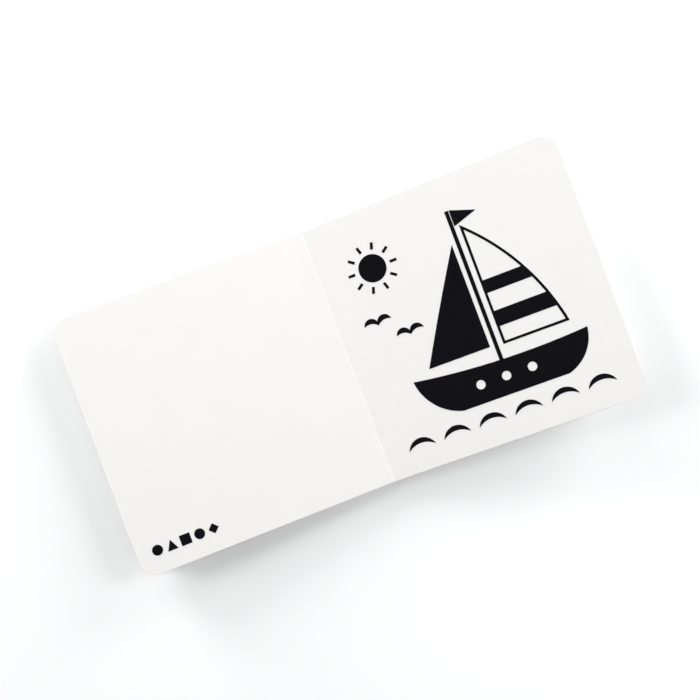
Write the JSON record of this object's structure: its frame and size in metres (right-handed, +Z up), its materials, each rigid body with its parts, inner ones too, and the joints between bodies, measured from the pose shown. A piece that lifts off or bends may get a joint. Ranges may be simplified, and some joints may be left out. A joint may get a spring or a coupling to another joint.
{
  "type": "board book",
  "caption": "Square board book with round outer corners, open at the middle spread, its covers hinged at a glued spine.",
  "frame": {"origin": "on the table, under the middle of the open book", "axes": "+X across the open spread, from the left page to the right one; +Y up the page, to its head; +Z up from the table"},
  "size_m": [0.2998, 0.152, 0.034],
  "materials": {
    "cover_board": "satin",
    "page_board": "satin",
    "fold_paper": "satin",
    "spine_paper": "satin",
    "black_ink": "satin"
  },
  "bodies": {
    "back_cover": {"back_cover": "cover_board"},
    "right_pages": {"right_pages": "page_board", "printed_picture": "black_ink", "gutter_fold": "fold_paper", "spine": "spine_paper"},
    "left_pages": {"left_pages": "page_board", "printed_marks": "black_ink"},
    "front_cover": {"front_cover": "cover_board"}
  },
  "joints": [
    {"name": "back_cover_hinge", "type": "hinge", "parent": "back_cover", "child": "right_pages", "pos_m": [0.00101, 0, 0.002], "axis": [0, 1, 0], "range_deg": [-25, 8]},
    {"name": "gutter_hinge", "type": "hinge", "parent": "right_pages", "child": "left_pages", "pos_m": [-0.00021, 0, 0.00842], "axis": [0, 1, 0], "range_deg": [0, 164], "deforming": ["gutter_fold", "spine"]},
    {"name": "front_cover_hinge", "type": "hinge", "parent": "left_pages", "child": "front_cover", "pos_m": [-0.00101, 0, 0.002], "axis": [0, 1, 0], "range_deg": [-25, 4]}
  ]
}
